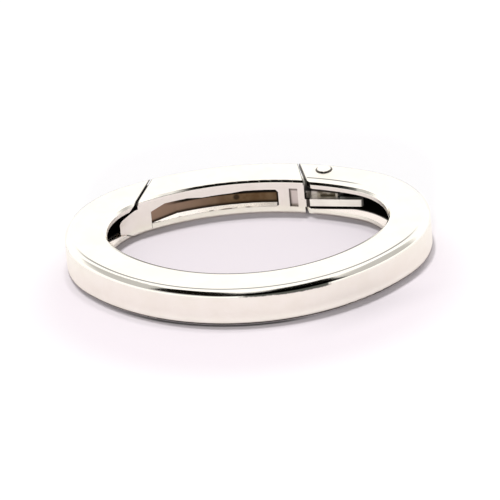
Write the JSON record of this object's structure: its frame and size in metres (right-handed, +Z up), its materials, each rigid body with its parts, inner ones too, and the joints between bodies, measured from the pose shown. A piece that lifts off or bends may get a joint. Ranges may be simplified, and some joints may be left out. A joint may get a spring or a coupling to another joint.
{
  "type": "chain shortener clasp",
  "caption": "Flat oval ring of polished silver with a sprung gate in its back side that pushes inwards on an upright pin, to gather or shorten a strand.",
  "frame": {"origin": "under the middle of the ring, on the surface that it lies on", "axes": "+X along the oval to the hinge end, +Y across it to the gate side, +Z up out of the upper flat face"},
  "size_m": [0.026, 0.019, 0.0026],
  "materials": {
    "silver": "polished",
    "silver_leaf": "polished"
  },
  "bodies": {
    "frame": {"frame": "silver", "hinge_pin": "silver"},
    "gate": {"gate": "silver", "gate_leaf": "silver_leaf"}
  },
  "joints": [
    {"name": "gate_hinge", "type": "hinge", "parent": "frame", "child": "gate", "pos_m": [0.00542, 0.00769, 0], "axis": [0, 0, 1], "range_deg": [0, 12], "stiffness_Nm_per_rad": 0.01, "springref_deg": -17.19}
  ]
}
